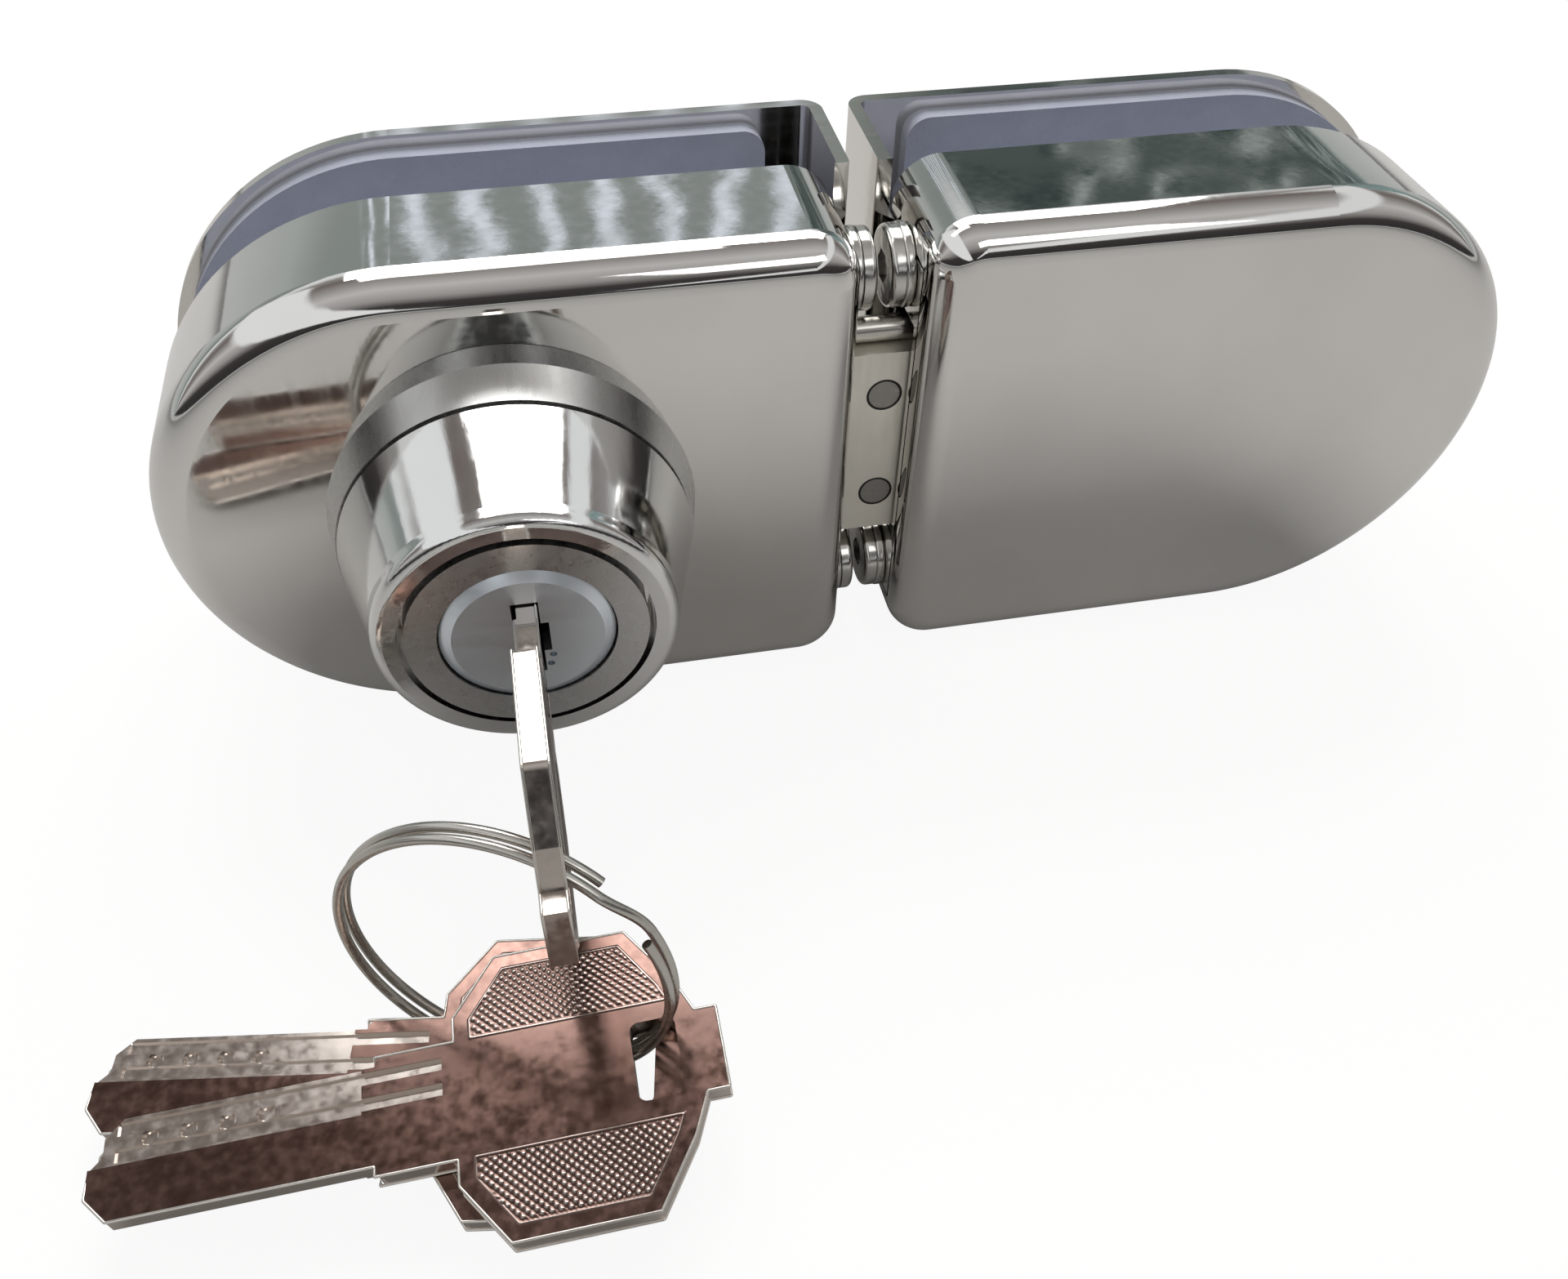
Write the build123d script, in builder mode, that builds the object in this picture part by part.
"""Glass door lock for a pair of frameless leaves: a lock case, a strike case and three keys.

Frame: +X runs from the lock case to the strike case, -Y is the key side, +Z is up.
The origin lies on the cylinder's axis, where the lock's front pad meets the glass.
"""
from build123d import *
from math import sqrt, pi, sin, cos, tan, asin, acos, degrees, radians
import os

os.makedirs("parts", exist_ok=True)

# Glass and pads
glass_gap = 10.0
pad_thickness = 2.4
pad_seat_depth = 0.7
pad_margin = 1.5
pad_end_margin = 2.8
back_pad_end_margin = 5.1

# Cases
case_height = 60.0
lock_flat_x = 39.0
lock_length = 77.5
strike_length = 75.0
case_gap = 7.0
shell_depth = 18.0
shell_wall = 1.2
face_radius = 4.0
corner_radius = 5.5
fit_gap = 0.3
overrun = 1.0

# Back plate with its end flange, joggle and tab
sheet = 1.5
flange_proud = 1.9
joggle = 1.9
joggle_start_y = -2.2
joggle_end_y = -4.6
bend_radius = 1.8
tab_margin = 6.0
tab_set_back = 3.9
window_corner = 0.5

# Chassis inside each case
chassis_plate = 2.0
chassis_end = 3.0
post_radius = 3.0
post_margin = 8.0
lock_post_x = 17.0
lock_far_post_x = -28.0
strike_post_share = 0.33
strike_far_post_share = 0.72
chassis_screw_radius = 1.5
chassis_screw_head_radius = 3.0
chassis_screw_length = 9.0

# End screws, button heads with a hexagon socket
end_screw_radius = 2.5
end_screw_head_radius = 4.6
end_screw_head_height = 1.5
end_screw_head_round = 0.6
washer_radius = 4.7
washer_thickness = 1.2
washer_round = 0.4
end_screw_length = 4.2
end_screw_margin = 8.7
end_screw_y = -9.6
hex_across = 3.4
hex_depth = 1.1

# Bolt
bolt_lamination = 2.0
bolt_margin = 17.1
bolt_length = 30.0
bolt_reach_past_strike = 7.0
bolt_set_back = 5.5
bolt_edge_radius = 0.5
rivet_radius = 2.0
rivet_row_z = 7.2
rivet_from_tip = 11.0
rivet_chamfer = 0.18
rod_radius = 1.5
rod_tip_set_back = 2.0
lug_length = 4.0
slot_gap = 0.6

# Drive: cam, its pin and the slot in the bolt's tail
cam_radius = 12.0
cam_thickness = 1.6
cam_hub_radius = 7.0
cam_arm_half_width = 2.7
drive_pin_radius = 1.75
drive_slot_clearance = 0.5
tail_web = 2.0
cam_screw_radius = 1.5
cam_screw_head_radius = 2.6
cam_screw_head_height = 1.4
cam_screw_length = 2.3

# Cylinder
housing_radius = 11.0
housing_flange_radius = 12.5
housing_flange = 3.0
housing_tail_gap = 0.2
plug_radius = 6.9
running_gap = 0.08
plug_head_radius = 9.0
plug_head_gap = 0.2
plug_head = 2.6
plug_chamfer = 1.2
plug_proud = 0.3
nut_radius = 15.5
nut_thickness = 3.0
nut_flats = 2.0
cylinder_protrusion = 19.1
base_ring_height = 5.0
base_ring_radius = 20.3
base_ring_draft = 1.0
base_ring_wall = 2.4
groove_width = 0.5
groove_depth = 0.9
collar_set_in = 0.2
collar_taper = 3.1
lip_roll = 0.6
lip_height = 2.2
lip_gap = 0.7
collar_shoulder = 1.6
collar_wall = 2.4
pin_radius = 1.2
pin_count = 4
pin_pitch = 3.5
driver_length = 1.4
cap_length = 0.6
cap_set_in = 0.7
pin_head_set_in = 1.0

# Keys
key_thickness = 2.3
key_length = 58.5
key_blade_length = 25.8
key_blade_half = 4.75
key_shoulder_half = 5.7
key_shoulder_length = 7.5
key_root_half = 8.1
key_bow_half = 13.9
key_bow_rise = 4.3
key_bow_flat = 13.1
key_tail_rise = 4.0
key_tail_half = 7.9
key_end_half = 4.1
key_end_rise = 3.4
key_round = 0.9
key_out = 3.0
key_hole_width = 4.4
key_hole_height = 7.8
key_hole_from_end = 6.3
key_hole_round = 0.9
key_slot_gap = 0.25
key_tip_step = 1.1
key_tip_chamfer = 1.6
key_tip_corner = 2.2
milled_low = 0.3
milled_depth = 0.3
milled_from_shoulder = 1.2
groove_half_width = 0.62
groove_start = 2.2
groove_past_shoulder = 6.3
key_groove_depth = 0.62
key_groove_offset = 1.25
pin_row_z = 2.5
dimple_radius = 0.8
dimple_depth = 0.45
dimple_first = 15.7
plug_mark_radius = 0.35
plug_mark_depth = 1.0
plug_mark_x = 1.9
plug_mark_low_z = -4.0
plug_mark_step = 1.3
keyway_side_width = 0.8
keyway_side_height = 4.0

# Split ring
ring_radius = 16.493
ring_wire_radius = 0.5
ring_turn_gap = 0.44
ring_slit_angle = 12.0
ring_slit_at = 41.0
ring_step_points = 8
ring_samples = 800
ring_yaw = 25.49
ring_lean = 5.625
ring_centre_x = -5.78
ring_centre_y = -67.299
ring_centre_z = -13.067
lower_hole_x = 4.773
lower_hole_y = -75.795
lower_hole_z = -23.531
lower_key_yaw = -10.039
upper_key_yaw = -0.068
spare_pitch = 3.621
spare_roll = 1.583
spare_stack_gap = 0.227
upper_shift_x = 2.529
upper_shift_y = -0.918

# Worked-out planes, from the glass outwards
rim_y = pad_seat_depth - pad_thickness
face_y = rim_y - shell_depth
plate_y = glass_gap + pad_thickness
pad_back_y = -pad_thickness
chassis_front_y = pad_back_y - chassis_plate
lip_y = face_y - cylinder_protrusion
plug_face_y = lip_y - plug_proud
tab_end_y = face_y + tab_set_back
half_height = case_height / 2
tab_half_height = half_height - tab_margin
post_row_z = half_height - post_margin
end_screw_z = half_height - end_screw_margin
bolt_half_height = half_height - bolt_margin
base_ring_top_radius = base_ring_radius - base_ring_draft
collar_radius = base_ring_top_radius - collar_set_in
collar_neck_radius = collar_radius - collar_taper
lip_radius = collar_neck_radius - lip_roll
lip_bore_radius = housing_flange_radius + lip_gap
strike_flat_x = lock_flat_x + case_gap
bolt_thickness = 3 * bolt_lamination
bolt_front_y = face_y + bolt_set_back
bolt_back_y = bolt_front_y + bolt_thickness
housing_rear_y = face_y + shell_wall + nut_thickness + fit_gap
cam_front_y = housing_rear_y + housing_tail_gap
cam_rear_y = cam_front_y + cam_thickness
bolt_throw = sqrt(2) * cam_radius
shoulder_key_y = plug_face_y - key_out
key_tip_y = shoulder_key_y + key_blade_length
pin_ys = [key_tip_y - dimple_first + i * pin_pitch for i in range(pin_count)]


def front_plane(y):
    """Plane facing the key side at a given y; extrusions from it run towards the viewer."""
    return Plane.XZ.offset(-y)


def bullet(case, inset, corner):
    """Outline of a case: one flat end, straight top and bottom, one full round end."""
    half = half_height - inset
    centre_x = case["round"] + case["out"] * half_height
    flat_x = case["flat"] - case["out"] * inset
    with BuildSketch() as outline:
        with Locations((centre_x, 0)):
            Circle(half)
        with Locations(((centre_x + flat_x) / 2, 0)):
            Rectangle(abs(flat_x - centre_x), 2 * half)
        if corner > 0:
            ends = outline.vertices().group_by(Axis.X)[-1 if case["out"] > 0 else 0]
            fillet(ends, corner)
    return outline.sketch


lock = {"flat": lock_flat_x, "round": lock_flat_x - lock_length, "out": 1,
        "posts": [(lock_far_post_x, 0), (lock_post_x, post_row_z), (lock_post_x, -post_row_z)]}
strike = {"flat": strike_flat_x, "round": strike_flat_x + strike_length, "out": -1,
          "posts": [(strike_flat_x + strike_far_post_share * strike_length, 0),
                    (strike_flat_x + strike_post_share * strike_length, post_row_z),
                    (strike_flat_x + strike_post_share * strike_length, -post_row_z)]}
for case in (lock, strike):
    case["flange"] = case["flat"] + case["out"] * flange_proud
    case["tab"] = case["flange"] - case["out"] * joggle
    case["tab_inner"] = case["tab"] - case["out"] * sheet
    case["end_inner"] = case["tab_inner"] - case["out"] * chassis_end

bolt_tip_x = strike["tab_inner"] + bolt_reach_past_strike
bolt_root_x = bolt_tip_x - bolt_length
rod_y = bolt_front_y + bolt_thickness / 2
rod_z = bolt_half_height + rod_radius
slot_top_z = rod_z + rod_radius + slot_gap
slot_bottom_z = -bolt_half_height - slot_gap
slot_front_y = bolt_front_y - slot_gap
slot_back_y = bolt_back_y + slot_gap


def bolt_window(case, cover):
    """Sketch of the opening that the bolt and its guard rod pass, on a plane across X."""
    with BuildSketch() as window:
        with Locations(((slot_front_y + slot_back_y) / 2, (slot_top_z + slot_bottom_z) / 2)):
            Rectangle(slot_back_y - slot_front_y + 2 * cover, slot_top_z - slot_bottom_z + 2 * cover)
    return window.sketch


def make_shell(case, bored):
    """Deep-drawn case: rounded front edges, an end window and threaded posts inside."""
    with BuildPart() as shell:
        with BuildSketch(front_plane(rim_y)):
            add(bullet(case, 0, corner_radius))
        extrude(amount=shell_depth)
        front = shell.faces().sort_by(Axis.Y)[0]
        fillet(front.edges(), face_radius)
        rim = shell.faces().sort_by(Axis.Y)[-1]
        offset(amount=-shell_wall, openings=rim)
        # window in the flat end, open at the rim
        window_front_y = tab_end_y - fit_gap
        window_half = tab_half_height + fit_gap
        with BuildSketch(Plane.YZ.offset(case["flat"])):
            with Locations(((window_front_y + rim_y) / 2, 0)):
                RectangleRounded(rim_y - window_front_y, 2 * window_half, window_corner)
            with Locations((rim_y, 0)):
                Rectangle(2 * window_corner, 2 * window_half)
        extrude(amount=shell_wall + fit_gap, both=True, mode=Mode.SUBTRACT)
        # posts for the chassis screws
        post_length = chassis_front_y - (face_y + shell_wall)
        with BuildSketch(front_plane(chassis_front_y)):
            with Locations(*case["posts"]):
                Circle(post_radius)
        extrude(amount=post_length)
        with BuildSketch(front_plane(chassis_front_y)):
            with Locations(*case["posts"]):
                Circle(chassis_screw_radius)
        extrude(amount=chassis_screw_length, mode=Mode.SUBTRACT)
        if bored:
            with BuildSketch(front_plane(face_y + shell_wall)):
                Circle(housing_radius + fit_gap)
            extrude(amount=shell_wall + overrun, mode=Mode.SUBTRACT)
    return shell


def make_back_plate(case):
    """Polished sheet: bullet plate, end flange across the glass, joggle and screwed tab."""
    out = case["out"]
    mid_flange = case["flange"] - out * sheet / 2
    mid_tab = case["tab"] - out * sheet / 2
    mid_plate = plate_y + sheet / 2
    start_x = case["flange"] - out * (pad_end_margin + bend_radius + sheet)
    with BuildPart() as plate:
        with BuildSketch(Plane.XY.offset(-half_height)):
            with BuildLine():
                FilletPolyline((start_x, mid_plate), (mid_flange, mid_plate),
                               (mid_flange, joggle_start_y), (mid_tab, joggle_end_y),
                               (mid_tab, tab_end_y), radius=bend_radius)
            trace(line_width=sheet)
        extrude(amount=case_height)
        # the tab is lower than the flange, so that it enters the case
        with BuildSketch(Plane.YZ.offset(case["flange"] + out * overrun)):
            for side in (1, -1):
                with Locations(((tab_end_y + joggle_start_y - overrun) / 2,
                                side * (tab_half_height + half_height + overrun) / 2)):
                    Rectangle(joggle_start_y - tab_end_y + overrun,
                              half_height + overrun - tab_half_height)
        extrude(amount=-out * (joggle + sheet + 2 * overrun), mode=Mode.SUBTRACT)
        # bullet plate behind the glass
        plate_case = dict(case, flat=start_x)
        with BuildSketch(front_plane(plate_y + sheet)):
            add(bullet(plate_case, 0, 0))
        extrude(amount=sheet)
        # bolt window and screw holes through the tab
        with BuildSketch(Plane.YZ.offset(case["tab"] + out * overrun)):
            add(bolt_window(case, 0))
            for side in (1, -1):
                with Locations((end_screw_y, side * end_screw_z)):
                    Circle(end_screw_radius + fit_gap / 2)
        extrude(amount=-out * (sheet + 2 * overrun), mode=Mode.SUBTRACT)
    return plate


def make_pad(case, y, end_margin):
    """Foam pad, a little inside the case's outline, from y towards the key side."""
    pad_case = dict(case, flat=case["flat"] - case["out"] * end_margin)
    pad_case["round"] = case["round"] + case["out"] * pad_margin
    half = half_height - pad_margin
    centre_x = case["round"] + case["out"] * half_height
    with BuildPart() as pad:
        with BuildSketch(front_plane(y)) as outline:
            with Locations((centre_x, 0)):
                Circle(half)
            with Locations(((centre_x + pad_case["flat"]) / 2, 0)):
                Rectangle(abs(pad_case["flat"] - centre_x), 2 * half)
            ends = outline.vertices().group_by(Axis.X)[-1 if case["out"] > 0 else 0]
            fillet(ends, corner_radius / 2)
        extrude(amount=pad_thickness)
    return pad


def make_chassis(case):
    """Bent steel plate that closes the case, with a threaded end for the tab's screws."""
    out = case["out"]
    inset = shell_wall + fit_gap
    with BuildPart() as chassis:
        plate_case = dict(case, flat=case["tab_inner"])
        half = half_height - inset
        centre_x = case["round"] + out * half_height
        with BuildSketch(front_plane(pad_back_y)) as outline:
            with Locations((centre_x, 0)):
                Circle(half)
            with Locations(((centre_x + plate_case["flat"]) / 2, 0)):
                Rectangle(abs(plate_case["flat"] - centre_x), 2 * half)
            ends = outline.vertices().group_by(Axis.X)[-1 if out > 0 else 0]
            fillet(ends, corner_radius - inset)
        extrude(amount=chassis_plate)
        end_depth = chassis_front_y - tab_end_y
        with BuildSketch(Plane.YZ.offset(case["tab_inner"])):
            with Locations((chassis_front_y - end_depth / 2, 0)):
                Rectangle(end_depth, 2 * tab_half_height)
        extrude(amount=-out * chassis_end)
        with BuildSketch(Plane.YZ.offset(case["tab_inner"] + out * overrun)):
            add(bolt_window(case, 0))
            for side in (1, -1):
                with Locations((end_screw_y, side * end_screw_z)):
                    Circle(end_screw_radius)
        extrude(amount=-out * (chassis_end + 2 * overrun), mode=Mode.SUBTRACT)
        # countersunk holes for the chassis screws
        with Locations(*[Location((x, pad_back_y, z), (-90, 0, 0)) for x, z in case["posts"]]):
            CounterSinkHole(chassis_screw_radius + fit_gap / 2, chassis_screw_head_radius,
                            depth=chassis_plate + overrun)
    return chassis


def end_seats(case, height):
    """Planes across the two end screws, a height above the tab, facing the other leaf."""
    x = case["tab"] + case["out"] * height
    return [Plane(origin=(x, end_screw_y, side * end_screw_z), x_dir=(0, 1, 0), z_dir=(case["out"], 0, 0))
            for side in (1, -1)]


def make_washers(case):
    """Two round-edged washers between the tab and the screw heads."""
    with BuildPart() as washers:
        for seat in end_seats(case, 0):
            with BuildSketch(seat):
                Circle(washer_radius)
                Circle(end_screw_radius + fit_gap / 2, mode=Mode.SUBTRACT)
            extrude(amount=washer_thickness)
        outer = [e for e in washers.edges().filter_by(GeomType.CIRCLE) if e.radius > end_screw_head_radius]
        fillet(outer, washer_round)
    return washers


def make_end_screws(case):
    """Two button-head screws with hexagon sockets, heads towards the other leaf."""
    out = case["out"]
    with BuildPart() as screws:
        for seat in end_seats(case, washer_thickness):
            with BuildSketch(seat):
                Circle(end_screw_head_radius)
            extrude(amount=end_screw_head_height)
            with BuildSketch(seat):
                Circle(end_screw_radius)
            extrude(amount=-end_screw_length - washer_thickness)
        rims = screws.edges().filter_by(GeomType.CIRCLE).group_by(Axis.X)[-1 if out > 0 else 0]
        fillet(rims, end_screw_head_round)
        for top in end_seats(case, washer_thickness + end_screw_head_height):
            with BuildSketch(top):
                RegularPolygon(hex_across / 2, 6, major_radius=False)
            extrude(amount=-hex_depth, mode=Mode.SUBTRACT)
    return screws


def make_chassis_screws(case):
    """Countersunk screws that hold the chassis to the posts, hidden under the pad."""
    head = chassis_screw_head_radius - chassis_screw_radius
    with BuildPart() as screws:
        for x, z in case["posts"]:
            seat = Plane(origin=(x, pad_back_y, z), x_dir=(1, 0, 0), z_dir=(0, -1, 0))
            with BuildSketch(seat):
                Circle(chassis_screw_head_radius - fit_gap / 2)
            with BuildSketch(seat.offset(head)):
                Circle(chassis_screw_radius - fit_gap / 2)
            loft()
            with BuildSketch(seat.offset(head)):
                Circle(chassis_screw_radius - fit_gap / 2)
            extrude(amount=chassis_screw_length - head)
    return screws


pieces = {}
for prefix, case in (("lock", lock), ("strike", strike)):
    pieces[prefix + "_shell"] = make_shell(case, prefix == "lock")
    pieces[prefix + "_back_plate"] = make_back_plate(case)
    pieces[prefix + "_front_pad"] = make_pad(case, 0, pad_end_margin)
    pieces[prefix + "_back_pad"] = make_pad(case, plate_y, back_pad_end_margin)
    pieces[prefix + "_chassis"] = make_chassis(case)
    pieces[prefix + "_end_screws"] = make_end_screws(case)
    pieces[prefix + "_screw_washers"] = make_washers(case)
    pieces[prefix + "_chassis_screws"] = make_chassis_screws(case)

# Bolt: three riveted plates; the middle one carries the tail that the cam drives
front_plate_y = bolt_front_y
middle_plate_y = bolt_front_y + bolt_lamination
rear_plate_y = bolt_front_y + 2 * bolt_lamination
rivet_x = bolt_tip_x - rivet_from_tip
drive_x = cam_radius * cos(pi / 4)
drive_low_z = cam_radius * cos(pi / 4)
drive_slot_half = drive_pin_radius + drive_slot_clearance
tail_low_z = drive_low_z - drive_slot_half - tail_web
tail_left_x = drive_x - drive_slot_half - tail_web
lug_right_x = bolt_root_x + overrun
lug_left_x = lug_right_x - lug_length
rod_left_x = lug_right_x
rod_right_x = bolt_tip_x - rod_tip_set_back
bolt_mid_x = (bolt_tip_x + bolt_root_x) / 2

for name, y in (("bolt_front_plate", front_plate_y), ("bolt_rear_plate", rear_plate_y)):
    with BuildPart() as plate:
        with BuildSketch(front_plane(y + bolt_lamination)):
            with Locations((bolt_mid_x, 0)):
                Rectangle(bolt_length, 2 * bolt_half_height)
            with Locations((rivet_x, rivet_row_z), (rivet_x, -rivet_row_z)):
                Circle(rivet_radius, mode=Mode.SUBTRACT)
        extrude(amount=bolt_lamination)
        tips = plate.edges().filter_by(Axis.Y).group_by(Axis.X)[-1]
        fillet(tips, bolt_edge_radius)
    pieces[name] = plate

with BuildPart() as bolt_middle_plate:
    with BuildSketch(front_plane(middle_plate_y + bolt_lamination)):
        with Locations((bolt_mid_x, 0)):
            Rectangle(bolt_length, 2 * bolt_half_height)
        tail_high_z = rod_z + rod_radius
        with Locations(((tail_left_x + lug_right_x) / 2, (tail_low_z + tail_high_z) / 2)):
            Rectangle(lug_right_x - tail_left_x, tail_high_z - tail_low_z)
        with Locations((drive_x, (drive_low_z + cam_radius) / 2)):
            SlotCenterToCenter(cam_radius - drive_low_z, 2 * drive_slot_half, rotation=90,
                               mode=Mode.SUBTRACT)
        with Locations((rivet_x, rivet_row_z), (rivet_x, -rivet_row_z)):
            Circle(rivet_radius, mode=Mode.SUBTRACT)
    extrude(amount=bolt_lamination)
    tips = bolt_middle_plate.edges().filter_by(Axis.Y).group_by(Axis.X)[-1]
    fillet(tips, bolt_edge_radius)
pieces["bolt_middle_plate"] = bolt_middle_plate

with BuildPart() as bolt_rivets:
    with BuildSketch(front_plane(bolt_back_y)):
        with Locations((rivet_x, rivet_row_z), (rivet_x, -rivet_row_z)):
            Circle(rivet_radius)
    extrude(amount=bolt_thickness)
    chamfer(bolt_rivets.edges().filter_by(GeomType.CIRCLE), rivet_chamfer)
pieces["bolt_rivets"] = bolt_rivets

with BuildPart() as bolt_guard_rod:
    with BuildSketch(Plane(origin=(rod_left_x, rod_y, rod_z), x_dir=(0, 1, 0), z_dir=(1, 0, 0))):
        Circle(rod_radius)
    extrude(amount=rod_right_x - rod_left_x)
    chamfer(bolt_guard_rod.edges().sort_by(Axis.X)[-1], rod_radius / 3)
pieces["bolt_guard_rod"] = bolt_guard_rod

# Guide bracket over the bolt, on the lock's chassis
guide_right_x = lock["end_inner"]
guide_length = guide_right_x - lug_right_x - fit_gap
guide_wall = bolt_lamination
guide_low_z = slot_bottom_z - guide_wall
guide_high_z = slot_top_z + guide_wall
guide_front_y = slot_front_y - guide_wall
with BuildPart() as bolt_guide:
    with BuildSketch(Plane.YZ.offset(guide_right_x)):
        with Locations(((guide_front_y + chassis_front_y) / 2, (guide_low_z + guide_high_z) / 2)):
            Rectangle(chassis_front_y - guide_front_y, guide_high_z - guide_low_z)
        with Locations(((slot_front_y + chassis_front_y) / 2 + overrun / 2, (slot_bottom_z + slot_top_z) / 2)):
            Rectangle(chassis_front_y - slot_front_y + overrun, slot_top_z - slot_bottom_z,
                      mode=Mode.SUBTRACT)
    extrude(amount=-guide_length)
pieces["bolt_guide"] = bolt_guide

# Cylinder housing, with its flange behind the collar's lip and its thread behind the case
flange_front_y = lip_y
flange_rear_y = flange_front_y + housing_flange
bore_radius = plug_radius + running_gap
plug_head_rear_y = plug_face_y + plug_head + plug_proud
with BuildPart() as cylinder_housing:
    with BuildSketch(Plane.XY):
        with BuildLine():
            Polyline((plug_head_radius + plug_head_gap, flange_front_y),
                     (housing_flange_radius, flange_front_y),
                     (housing_flange_radius, flange_rear_y), (housing_radius, flange_rear_y),
                     (housing_radius, housing_rear_y), (bore_radius, housing_rear_y),
                     (bore_radius, plug_head_rear_y), (plug_head_radius + plug_head_gap, plug_head_rear_y),
                     close=True)
        make_face()
    revolve(axis=Axis.Y)
    with BuildSketch(Plane.YZ.offset(-housing_radius - overrun)):
        with Locations(*[(y, pin_row_z) for y in pin_ys]):
            Circle(pin_radius + fit_gap / 3)
    extrude(amount=housing_radius + overrun - plug_radius / 2, mode=Mode.SUBTRACT)
pieces["cylinder_housing"] = cylinder_housing

with BuildPart() as cylinder_nut:
    nut_front_y = face_y + shell_wall
    with BuildSketch(front_plane(nut_front_y + nut_thickness)):
        RegularPolygon(nut_radius, 8)
        Circle(housing_radius + running_gap, mode=Mode.SUBTRACT)
    extrude(amount=nut_thickness)
    chamfer(cylinder_nut.faces().sort_by(Axis.Y)[-1].outer_wire().edges(), nut_flats / 4)
pieces["cylinder_nut"] = cylinder_nut

# Collar in two pieces: a base ring on the case and a cone with a rolled lip
ring_front_y = face_y - base_ring_height
with BuildPart() as collar_base_ring:
    with BuildSketch(Plane.XY):
        with BuildLine():
            Polyline((housing_radius + fit_gap, face_y), (base_ring_radius, face_y),
                     (base_ring_top_radius, ring_front_y), (base_ring_top_radius - base_ring_wall, ring_front_y),
                     (base_ring_top_radius - base_ring_wall, face_y - base_ring_wall),
                     (housing_radius + fit_gap, face_y - base_ring_wall), close=True)
        make_face()
    revolve(axis=Axis.Y)
pieces["collar_base_ring"] = collar_base_ring

shoulder_y = flange_rear_y
with BuildPart() as cylinder_collar:
    with BuildSketch(Plane.XY):
        with BuildLine():
            neck_y = lip_y + lip_height
            groove_y = ring_front_y - groove_width
            lines = Polyline((base_ring_top_radius - base_ring_wall, ring_front_y),
                             (collar_radius - groove_depth, ring_front_y),
                             (collar_radius - groove_depth, groove_y), (collar_radius, groove_y),
                             (collar_neck_radius, neck_y))
            lip_top = ((collar_neck_radius + lip_bore_radius) / 2, lip_y)
            lip = Spline((collar_neck_radius, neck_y), (lip_radius + (collar_neck_radius - lip_radius) / 2,
                         lip_y + lip_height / 3), lip_top,
                         tangents=[(collar_neck_radius - collar_radius, neck_y - groove_y), (-1, 0)])
            Polyline(lip_top, (lip_bore_radius, lip_y + running_gap), (lip_bore_radius, shoulder_y),
                     (housing_radius + fit_gap, shoulder_y), (housing_radius + fit_gap, shoulder_y + collar_shoulder),
                     (collar_neck_radius - collar_wall + groove_width, shoulder_y + collar_shoulder),
                     (base_ring_top_radius - base_ring_wall, ring_front_y))
        make_face()
    revolve(axis=Axis.Y)
pieces["cylinder_collar"] = cylinder_collar

# Plug with its keyway and its chambers for the key pins
plug_rear_y = cam_front_y
keyway_end_y = key_tip_y + key_slot_gap
with BuildPart() as cylinder_plug:
    with BuildSketch(Plane.XY):
        with BuildLine():
            Polyline((0, plug_face_y), (plug_head_radius - plug_chamfer, plug_face_y),
                     (plug_head_radius, plug_face_y + plug_chamfer * 0.6),
                     (plug_head_radius, plug_head_rear_y - plug_head_gap),
                     (plug_radius, plug_head_rear_y - plug_head_gap), (plug_radius, plug_rear_y),
                     (0, plug_rear_y), close=True)
        make_face()
    revolve(axis=Axis.Y)
    with BuildSketch(front_plane(plug_face_y - overrun)):
        Rectangle(key_thickness + 2 * key_slot_gap, 2 * (key_blade_half + key_slot_gap))
        with Locations((key_thickness / 2 + key_slot_gap + keyway_side_width / 2, 0)):
            Rectangle(keyway_side_width, keyway_side_height)
    extrude(amount=-(keyway_end_y - plug_face_y + overrun), mode=Mode.SUBTRACT)
    with BuildSketch(Plane.YZ.offset(-plug_radius - overrun)):
        with Locations(*[(y, pin_row_z) for y in pin_ys]):
            Circle(pin_radius + fit_gap / 3)
    extrude(amount=plug_radius + overrun - key_thickness / 2, mode=Mode.SUBTRACT)
    with BuildSketch(front_plane(plug_face_y)):
        for i in range(2):
            with Locations((plug_mark_x + i * plug_mark_radius, plug_mark_low_z + i * plug_mark_step)):
                Circle(plug_mark_radius)
    extrude(amount=-plug_mark_depth, mode=Mode.SUBTRACT)
    with BuildSketch(front_plane(plug_rear_y)):
        Circle(cam_screw_radius)
    extrude(amount=cam_screw_length - cam_thickness + running_gap, mode=Mode.SUBTRACT)
pieces["cylinder_plug"] = cylinder_plug

key_pin_outer_x = -(plug_radius - pin_head_set_in)
key_pin_inner_x = -(key_thickness / 2 + key_slot_gap)
driver_inner_x = -(bore_radius + running_gap)
driver_outer_x = driver_inner_x - driver_length
cap_outer_x = -(housing_radius - cap_set_in)
cap_inner_x = cap_outer_x + cap_length


def pin_row(start_x, end_x, radius, tapered):
    """A row of round pins along X, one for each chamber."""
    with BuildPart() as row:
        with BuildSketch(Plane.YZ.offset(start_x)):
            with Locations(*[(y, pin_row_z) for y in pin_ys]):
                Circle(radius)
        extrude(amount=end_x - start_x)
        if tapered:
            tips = row.edges().filter_by(GeomType.CIRCLE).group_by(Axis.X)[-1]
            chamfer(tips, radius / 2)
    return row


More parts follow.
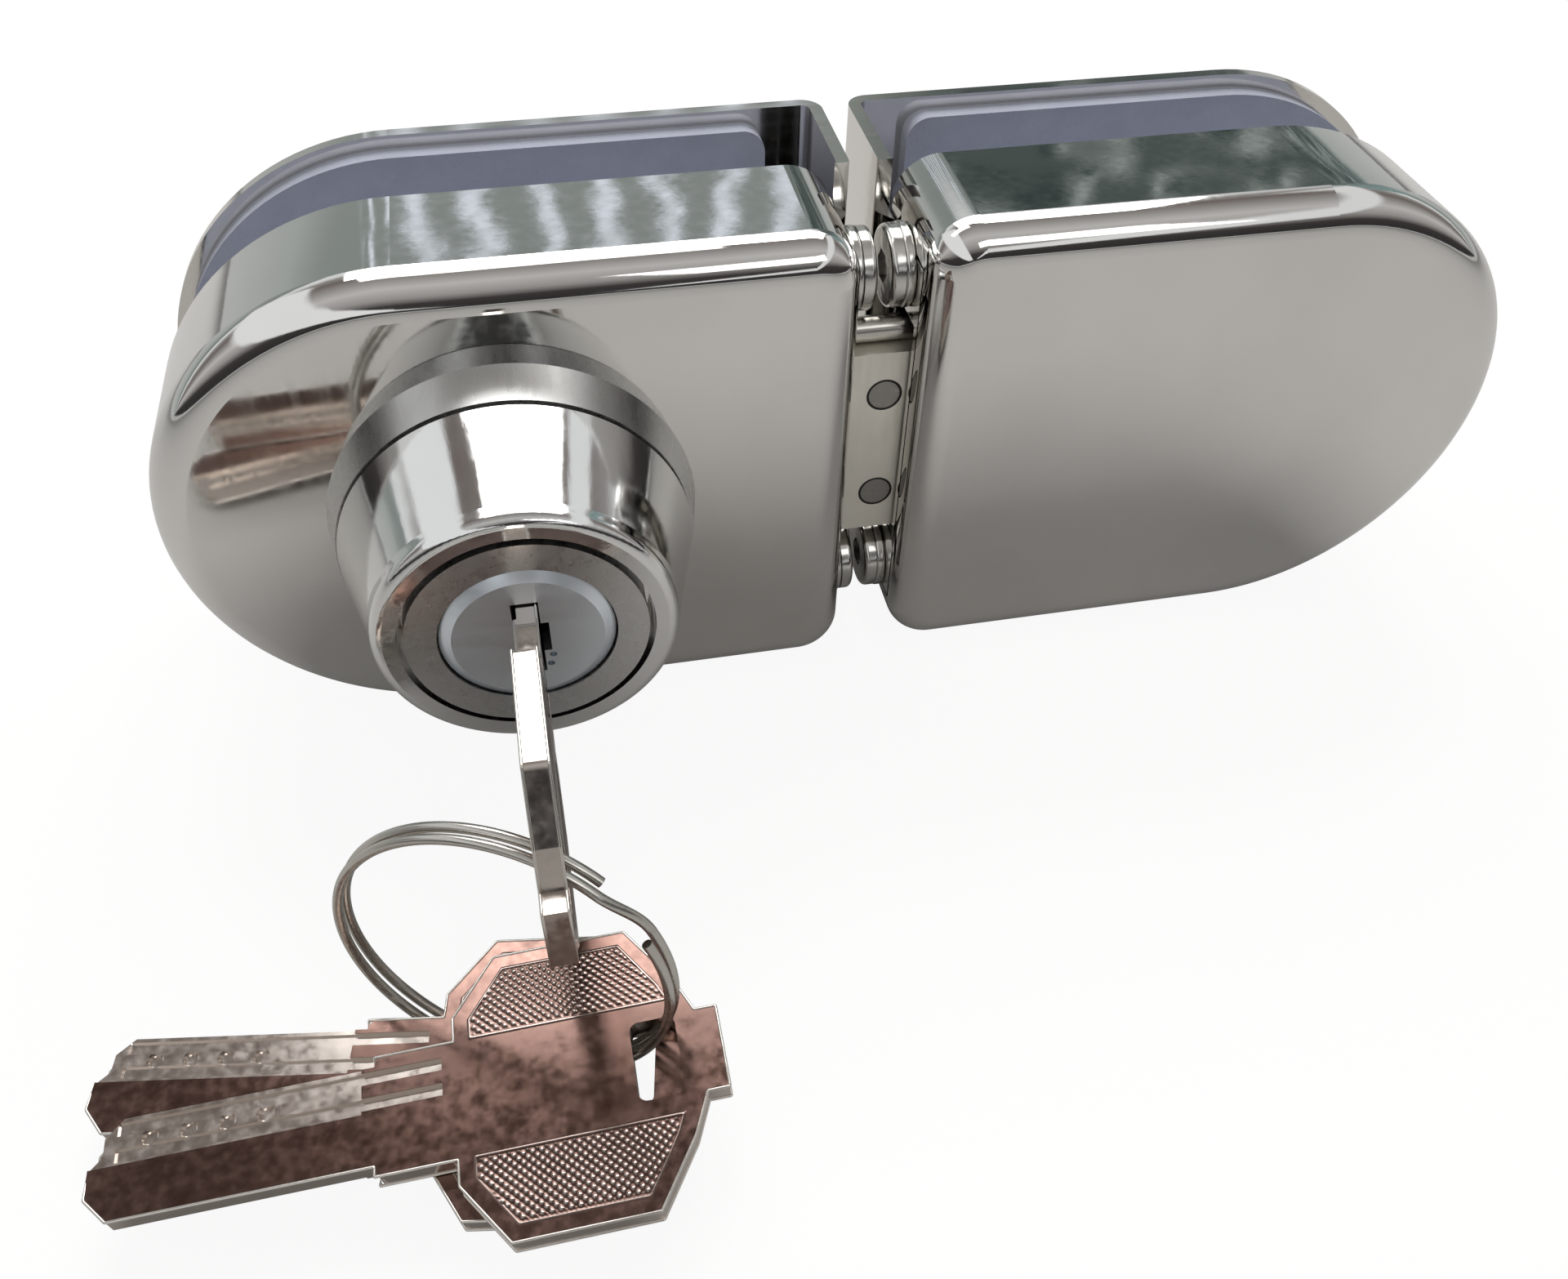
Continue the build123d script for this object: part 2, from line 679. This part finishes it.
pieces["key_pins"] = pin_row(key_pin_outer_x, key_pin_inner_x, pin_radius, True)
pieces["driver_pins"] = pin_row(driver_outer_x, driver_inner_x, pin_radius, False)
pieces["chamber_caps"] = pin_row(cap_outer_x, cap_inner_x, pin_radius + fit_gap / 3, False)
with BuildPart() as pin_springs:
    with BuildSketch(Plane.YZ.offset(cap_inner_x)):
        with Locations(*[(y, pin_row_z) for y in pin_ys]):
            Circle(pin_radius)
            Circle(pin_radius / 2, mode=Mode.SUBTRACT)
    extrude(amount=driver_outer_x - cap_inner_x)
pieces["pin_springs"] = pin_springs

# Cam on the plug's rear end: at rest its arm points to the upper right, bolt thrown
drive_pin_rear_y = middle_plate_y + bolt_lamination + fit_gap
with BuildPart() as bolt_cam:
    with BuildSketch(front_plane(cam_rear_y)):
        Circle(cam_hub_radius)
        with Locations(Location((drive_x / 2, drive_low_z / 2), 45)):
            Rectangle(cam_radius, 2 * cam_arm_half_width)
        with Locations((drive_x, drive_low_z)):
            Circle(cam_arm_half_width)
            Circle(drive_pin_radius, mode=Mode.SUBTRACT)
        Circle(cam_screw_radius, mode=Mode.SUBTRACT)
    extrude(amount=cam_thickness)
pieces["bolt_cam"] = bolt_cam

with BuildPart() as cam_drive_pin:
    with BuildSketch(front_plane(drive_pin_rear_y)):
        with Locations((drive_x, drive_low_z)):
            Circle(drive_pin_radius)
    extrude(amount=drive_pin_rear_y - cam_front_y)
pieces["cam_drive_pin"] = cam_drive_pin

with BuildPart() as cam_screw:
    with BuildSketch(front_plane(cam_rear_y + cam_screw_head_height)):
        Circle(cam_screw_head_radius)
    extrude(amount=cam_screw_head_height)
    fillet(cam_screw.edges().sort_by(Axis.Y)[-1], cam_screw_head_height / 2)
    with BuildSketch(front_plane(cam_rear_y)):
        Circle(cam_screw_radius)
    extrude(amount=cam_screw_length)
pieces["cam_screw"] = cam_screw


def make_key(frame):
    """Dimple key: blade along the frame's x, tip at its origin, bow at the far end."""
    shoulder = key_blade_length
    root = shoulder + key_shoulder_length
    bow = root + key_bow_rise
    tail = bow + key_bow_flat
    narrow = tail + key_tail_rise
    end = key_length
    back = [(shoulder, key_blade_half), (shoulder, key_shoulder_half), (root, key_shoulder_half),
            (root, key_root_half), (bow, key_bow_half), (tail, key_bow_half), (narrow, key_tail_half),
            (narrow + key_end_rise / 2, key_end_half), (end, key_end_half)]
    tip = [(key_tip_corner, -key_blade_half), (0, -key_blade_half / 2), (0, milled_low),
           (key_tip_step, milled_low + key_tip_step), (key_tip_step, key_blade_half - key_tip_chamfer),
           (key_tip_step + key_tip_chamfer, key_blade_half)]
    outline = tip + back + [(x, -y) for x, y in reversed(back)]
    milled_end = shoulder - milled_from_shoulder
    groove_end = shoulder + groove_past_shoulder
    with BuildPart() as key:
        with BuildSketch(frame.offset(-key_thickness / 2)) as blank:
            with BuildLine():
                Polyline(*outline, close=True)
            make_face()
            bends = [v for v in blank.vertices() if abs(v.Y) > key_blade_half + overrun / 2]
            fillet(bends, key_round)
            with Locations((end - key_hole_from_end, 0)):
                RectangleRounded(key_hole_width, key_hole_height, key_hole_round, mode=Mode.SUBTRACT)
        extrude(amount=key_thickness)
        # each face has one milled half with two grooves and a row of dimples, turned over on the back
        for side in (1, -1):
            face = frame.offset(side * key_thickness / 2)
            with BuildSketch(face):
                with Locations((milled_end / 2, side * (milled_low + key_blade_half) / 2)):
                    Rectangle(milled_end, key_blade_half - milled_low)
            extrude(amount=-side * milled_depth, mode=Mode.SUBTRACT)
            with BuildSketch(face):
                for row in (1, -1):
                    with Locations(((groove_start + groove_end) / 2,
                                    side * (pin_row_z + row * key_groove_offset))):
                        Rectangle(groove_end - groove_start, 2 * groove_half_width)
            extrude(amount=-side * key_groove_depth, mode=Mode.SUBTRACT)
            with BuildSketch(face.offset(-side * milled_depth)):
                for i in range(pin_count):
                    with Locations((dimple_first - i * pin_pitch, side * pin_row_z)):
                        Circle(dimple_radius)
            extrude(amount=-side * dimple_depth, taper=30, mode=Mode.SUBTRACT)
    return key


# The key in the plug stands upright; its bow hole carries the ring
key_frame = Plane(origin=(0, key_tip_y, 0), x_dir=(0, -1, 0), z_dir=(-1, 0, 0))
pieces["door_key"] = make_key(key_frame)

hole_station = key_length - key_hole_from_end
yaw = radians(ring_yaw)
lean = radians(ring_lean)
ring_centre = Vector(ring_centre_x, ring_centre_y, ring_centre_z)
ring_along = Vector(cos(yaw), -sin(yaw), 0)
ring_up = Vector(sin(yaw) * sin(lean), cos(yaw) * sin(lean), cos(lean))
ring_normal = ring_along.cross(ring_up)
turn_pitch = 2 * ring_wire_radius + ring_turn_gap
slit = radians(ring_slit_angle)


def wire_frame(turn, step):
    """Plane across the ring's wire at a turn round the ring and a step along its axis."""
    angle = turn + radians(ring_slit_at)
    out = ring_along * cos(angle) + ring_up * sin(angle)
    ahead = ring_up * cos(angle) - ring_along * sin(angle)
    return Plane(origin=ring_centre + out * ring_radius + ring_normal * step, x_dir=out, z_dir=ahead)


def wire_point(turn):
    """Centre of the wire: one flat turn, a smooth step over twice the slit, and the other flat turn."""
    share = min(max((turn - 2 * pi + slit) / (2 * slit), 0), 1)
    return wire_frame(turn, turn_pitch * (share * share * (3 - 2 * share) - 1 / 2)).origin


with BuildPart() as split_ring:
    for side in (-1, 1):
        with BuildSketch(wire_frame(slit, side * turn_pitch / 2)):
            Circle(ring_wire_radius)
        revolve(axis=Axis(ring_centre, ring_normal), revolution_arc=360 - 2 * ring_slit_angle)
    with BuildLine() as wire_step:
        Spline(*[wire_point(2 * pi + slit * (2 * i / ring_step_points - 1)) for i in range(ring_step_points + 1)],
               tangents=(wire_frame(-slit, 0).z_dir, wire_frame(slit, 0).z_dir))
    with BuildSketch(wire_frame(-slit, -turn_pitch / 2)):
        Circle(ring_wire_radius)
    sweep(path=wire_step.line)
pieces["split_ring"] = split_ring
samples = [wire_point(slit + (4 * pi - 2 * slit) * i / ring_samples) for i in range(ring_samples + 1)]
clear = [(p - q).length for i, p in enumerate(samples) for q in samples[i + ring_samples // 12:]]
print("least gap of the ring's wire to itself", round(min(clear) - 2 * ring_wire_radius, 3))

# Spare keys lie one on the other, in parallel planes, with the wire through their holes
pitch = radians(spare_pitch)
roll = radians(spare_roll)
spare_along = Vector(cos(pitch), 0, sin(pitch))
spare_side = Vector(0, cos(roll), sin(roll))
spare_side = (spare_side - spare_along * spare_side.dot(spare_along)).normalized()
spare_up = spare_along.cross(spare_side)
lower_hole = Vector(lower_hole_x, lower_hole_y, lower_hole_z)
shift_z = -(upper_shift_x * spare_up.X + upper_shift_y * spare_up.Y) / spare_up.Z
upper_hole = lower_hole + spare_up * (key_thickness + spare_stack_gap) + Vector(upper_shift_x, upper_shift_y, shift_z)
for name, hole, turn in (("spare_key_lower", lower_hole, radians(lower_key_yaw)),
                         ("spare_key_upper", upper_hole, radians(upper_key_yaw))):
    key_along = spare_along * cos(turn) + spare_side * sin(turn)
    tip = hole - key_along * hole_station
    pieces[name] = make_key(Plane(origin=tip, x_dir=key_along, z_dir=spare_up))

for name, piece in pieces.items():
    piece.part.label = name
    export_step(piece.part, f"parts/{name}.step")

print("bolt throw", round(bolt_throw, 3), "cam pin", round(drive_x, 3))
print("ring centre", ring_centre, "ring normal", ring_normal)
print("spare planes' normal", spare_up, "holes", lower_hole, upper_hole)
